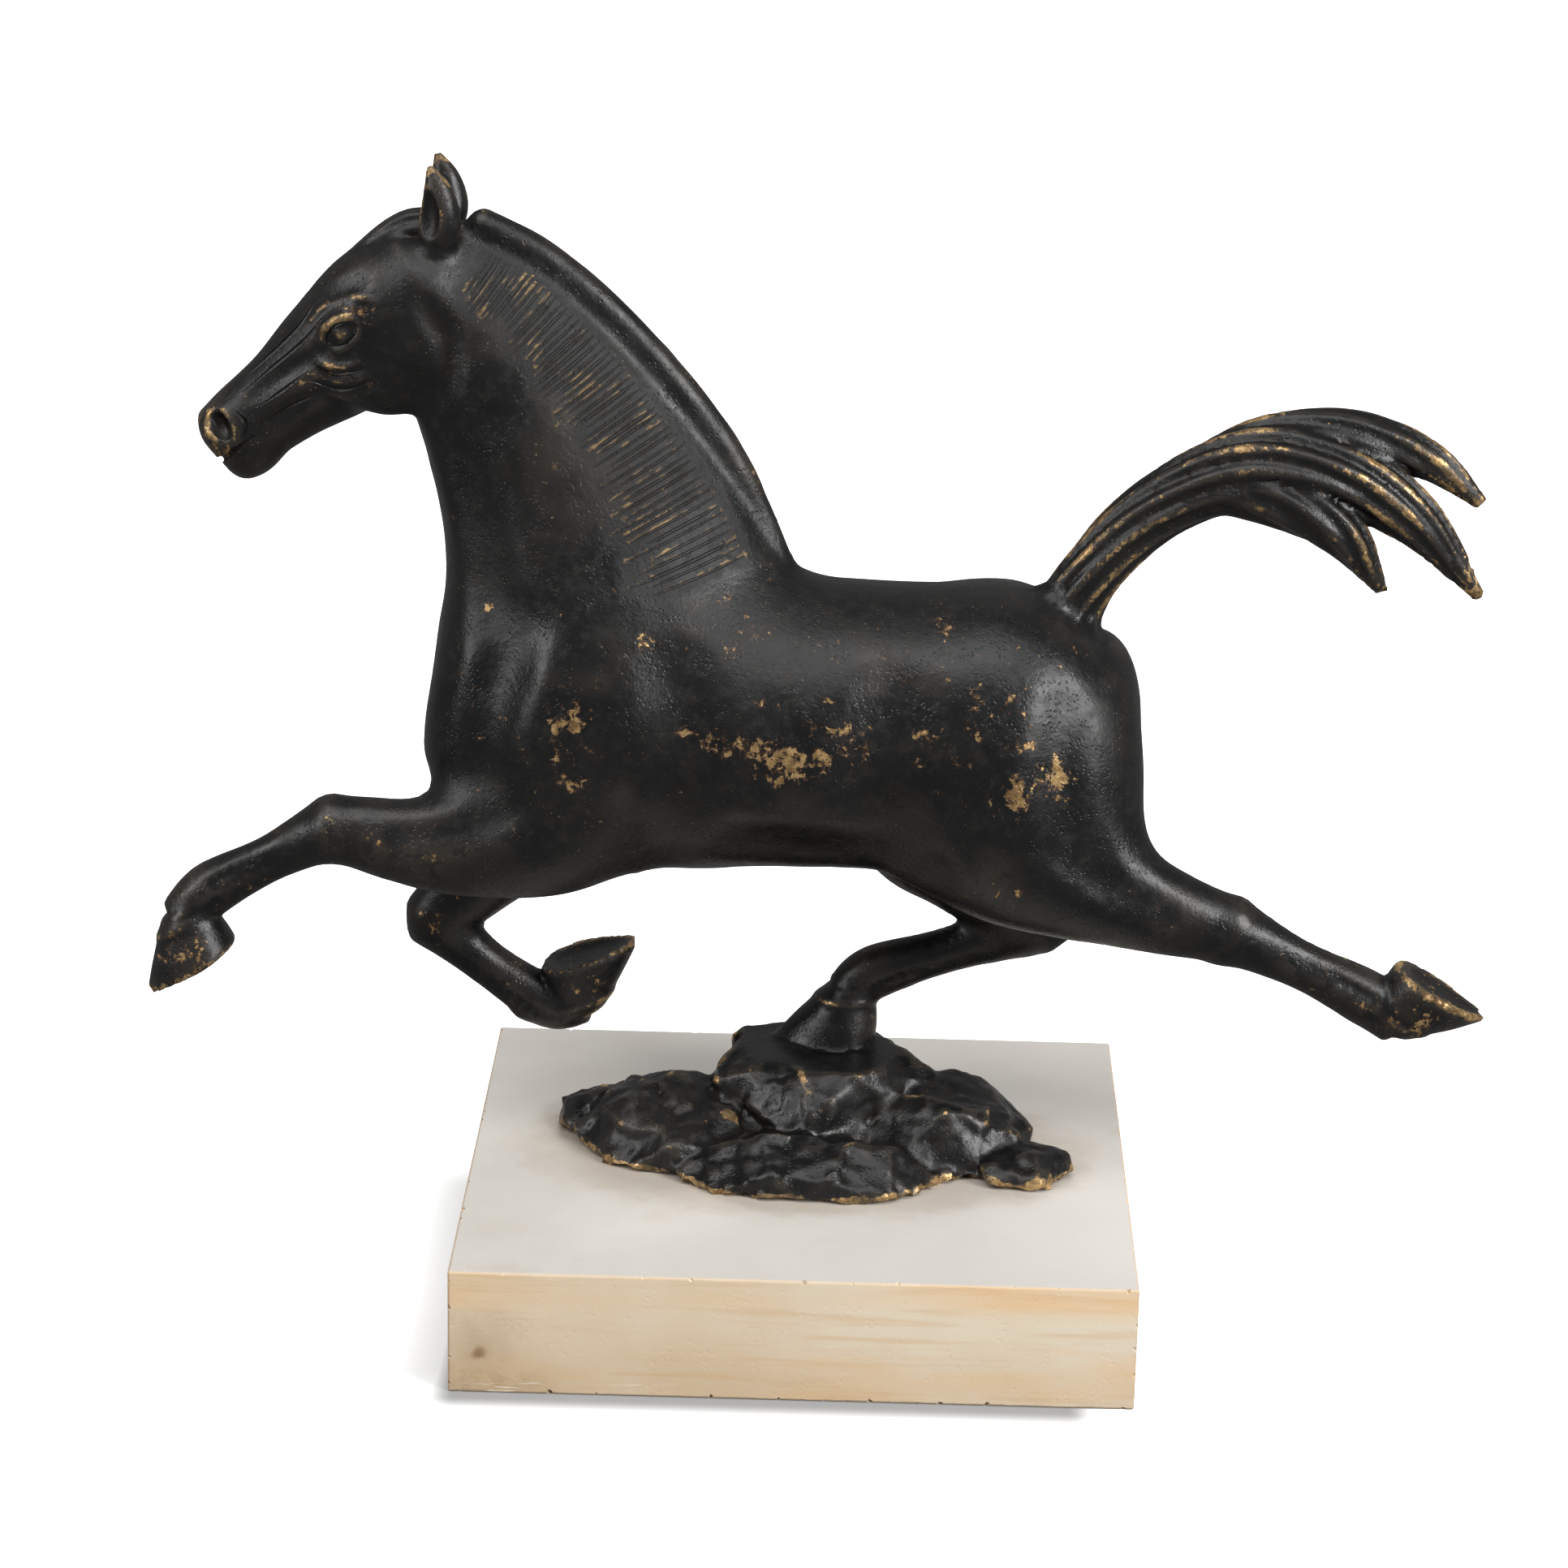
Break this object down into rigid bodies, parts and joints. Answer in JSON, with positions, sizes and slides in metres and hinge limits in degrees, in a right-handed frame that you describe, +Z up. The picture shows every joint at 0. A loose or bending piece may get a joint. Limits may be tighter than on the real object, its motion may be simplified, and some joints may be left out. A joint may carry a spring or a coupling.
{
  "type": "horse sculpture",
  "caption": "Small cast horse sculpture at full gallop, standing by one hind hoof on a low rock, fixed on a square-cut stone plinth.",
  "frame": {"origin": "middle of the plinth's underside", "axes": "+Z up; -X the way the horse faces; -Y its near side, the one the picture shows"},
  "size_m": [0.2407, 0.115, 0.2066],
  "materials": {
    "bronze": "near-black brown patina on cast bronze, satin and finely pitted, worn through to dull gold in flecks and on its edges",
    "stone": "honed pale stone, cool white on top and cream with soft tan bands on its sides, arrises slightly chipped"
  },
  "bodies": {
    "root": {"horse_casting": "bronze", "stone_plinth": "stone"}
  },
  "joints": []
}
